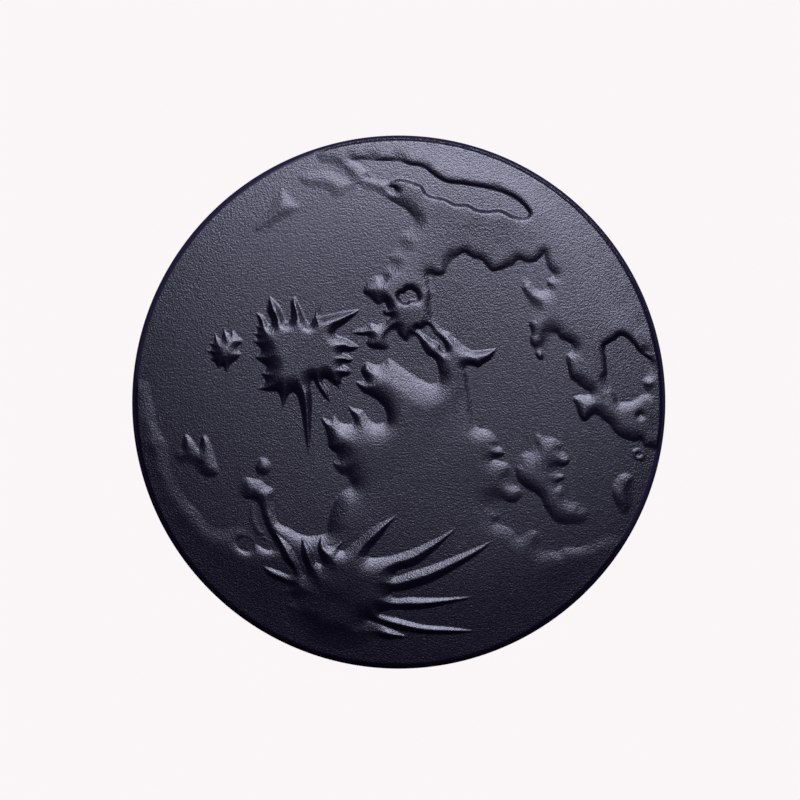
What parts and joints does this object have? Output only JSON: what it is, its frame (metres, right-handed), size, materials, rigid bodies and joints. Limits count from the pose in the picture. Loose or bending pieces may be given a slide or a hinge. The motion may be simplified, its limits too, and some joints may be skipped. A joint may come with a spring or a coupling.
{
  "type": "ink stick",
  "caption": "Round pressed black ink stick for grinding on an inkstone, its domed face moulded with the full moon in low relief, its side coated with a thin lacquer band.",
  "frame": {"origin": "centre of the flat back, on the surface the stick lies on", "axes": "+Z out of the relief face, +Y towards the moon's north, +X towards the moon's right-hand limb as seen from the face"},
  "size_m": [0.075, 0.075, 0.0125],
  "materials": {
    "pressed_ink": "dried pine-soot or lamp-black ink paste, moulded, fine-grained satin black with a cool blue sheen",
    "raised_ink": "the same moulded ink paste as the block, satin black",
    "edge_lacquer": "thin black lacquer, smooth and slightly glossier than the face"
  },
  "bodies": {
    "root": {"ink_block": "pressed_ink", "edge_lacquer": "edge_lacquer", "north_highland": "raised_ink", "mountain_range": "raised_ink", "south_highland": "raised_ink", "west_limb_highland": "raised_ink", "large_ray_crater": "raised_ink", "small_ray_crater": "raised_ink", "southern_ray_crater": "raised_ink", "south_east_island": "raised_ink", "east_island": "raised_ink", "east_ring_crater": "raised_ink", "north_west_island": "raised_ink", "west_island": "raised_ink", "west_knoll": "raised_ink", "basin_knoll": "raised_ink"}
  },
  "joints": []
}
